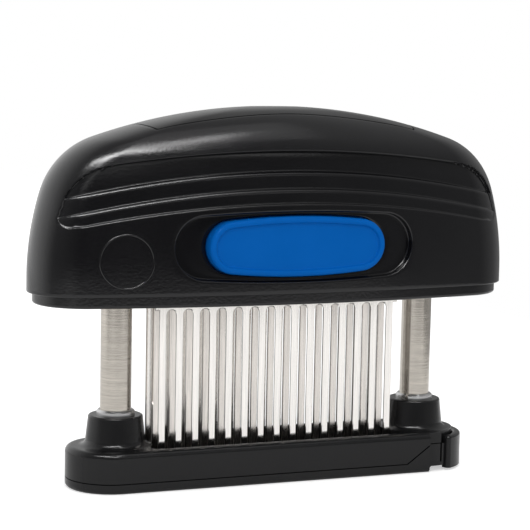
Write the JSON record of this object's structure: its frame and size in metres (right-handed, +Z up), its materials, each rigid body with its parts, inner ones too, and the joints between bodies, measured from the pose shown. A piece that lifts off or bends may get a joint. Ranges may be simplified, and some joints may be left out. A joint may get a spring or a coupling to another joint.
{
  "type": "blade meat tenderizer",
  "caption": "Hand-held push-down meat tenderizer: a domed hood with finger grips slides on steel columns and drives knife combs through a slotted base.",
  "frame": {"origin": "middle of the underside of the strip plate, between the two columns", "axes": "+X along the length towards the strip plate's snap tab, -Y the front, +Z up the columns"},
  "size_m": [0.1564, 0.0438, 0.1156],
  "materials": {
    "black_plastic": "satin moulded black",
    "insert_plastic": "smooth moulded black",
    "blue_plastic": "glossy moulded blue",
    "spacer_plastic": "plain moulded black",
    "bush_plastic": "plain moulded white",
    "column_steel": "ground round the column",
    "knife_steel": "bright stamped stainless sheet",
    "ring_steel": "bright spring steel",
    "spring_steel": "drawn wire",
    "fastener_steel": "turned steel"
  },
  "bodies": {
    "base": {"base_frame": "black_plastic", "foot_screws": "fastener_steel", "left_column": "column_steel", "right_column": "column_steel", "left_foot_plug": "fastener_steel", "right_foot_plug": "fastener_steel", "left_collar": "ring_steel", "right_collar": "ring_steel", "left_top_clip": "ring_steel", "right_top_clip": "ring_steel", "left_spring": "spring_steel", "right_spring": "spring_steel"},
    "plate": {"strip_plate": "black_plastic"},
    "hood": {"hood_shell": "black_plastic", "palm_insert": "insert_plastic", "cartridge_frame": "black_plastic", "front_comb": "knife_steel", "middle_comb": "knife_steel", "rear_comb": "knife_steel", "front_spacer": "spacer_plastic", "rear_spacer": "spacer_plastic", "cartridge_bolts": "fastener_steel", "cartridge_nuts": "fastener_steel", "left_guide_bush": "bush_plastic", "right_guide_bush": "bush_plastic", "left_plunger": "fastener_steel", "right_plunger": "fastener_steel"},
    "front_release": {"front_button": "blue_plastic", "front_latch": "spacer_plastic"},
    "rear_release": {"rear_button": "blue_plastic", "rear_latch": "spacer_plastic"}
  },
  "joints": [
    {"name": "hood_slide", "type": "slide", "parent": "base", "child": "hood", "axis": [0, 0, -1], "range_m": [0, 0.032], "stiffness_N_per_m": 500, "springref_m": -0.012, "deforming": ["left_spring", "right_spring"]},
    {"name": "plate_hinge", "type": "hinge", "parent": "base", "child": "plate", "pos_m": [-0.0659, 0, 0.0033], "axis": [0, 1, 0], "range_deg": [0, 60]},
    {"name": "front_press", "type": "slide", "parent": "hood", "child": "front_release", "axis": [0, 1, 0], "range_m": [0, 0.0025], "stiffness_N_per_m": 800, "springref_m": -0.002},
    {"name": "rear_press", "type": "slide", "parent": "hood", "child": "rear_release", "axis": [0, -1, 0], "range_m": [0, 0.0025], "stiffness_N_per_m": 800, "springref_m": -0.002}
  ]
}
